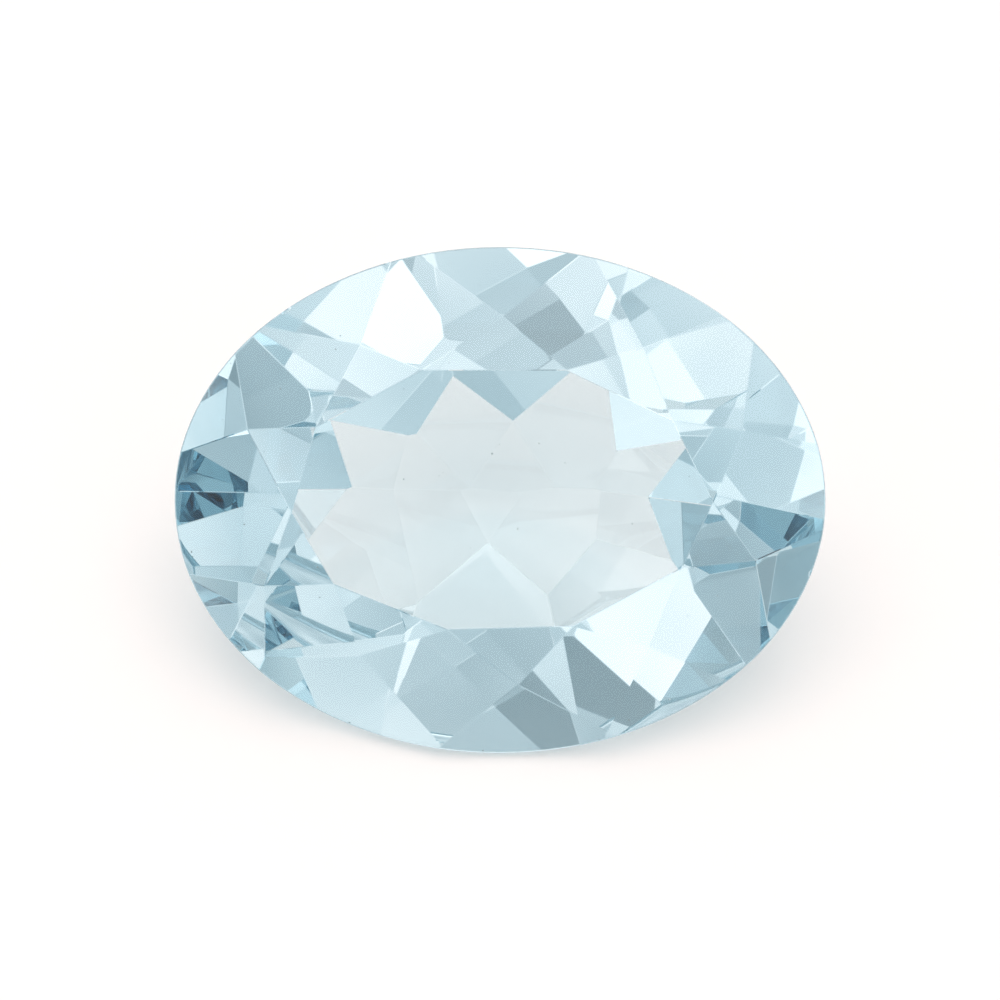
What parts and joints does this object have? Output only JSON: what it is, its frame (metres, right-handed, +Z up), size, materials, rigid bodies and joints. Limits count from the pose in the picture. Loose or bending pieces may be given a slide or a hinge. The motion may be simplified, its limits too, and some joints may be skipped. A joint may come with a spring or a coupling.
{
  "type": "loose faceted oval aquamarine gemstone",
  "caption": "Loose oval cut gemstone in pale blue aquamarine, with a flat table, a faceted crown, a thin girdle and a keeled pavilion, lying on one side.",
  "frame": {"origin": "on the resting surface, under the middle of the stone's box", "axes": "+X along the stone's length, +Z up, and the table faces up and towards -Y"},
  "size_m": [0.009, 0.0056, 0.0045],
  "materials": {
    "aquamarine": "polished transparent pale blue beryl"
  },
  "bodies": {
    "root": {"aquamarine": "aquamarine"}
  },
  "joints": []
}
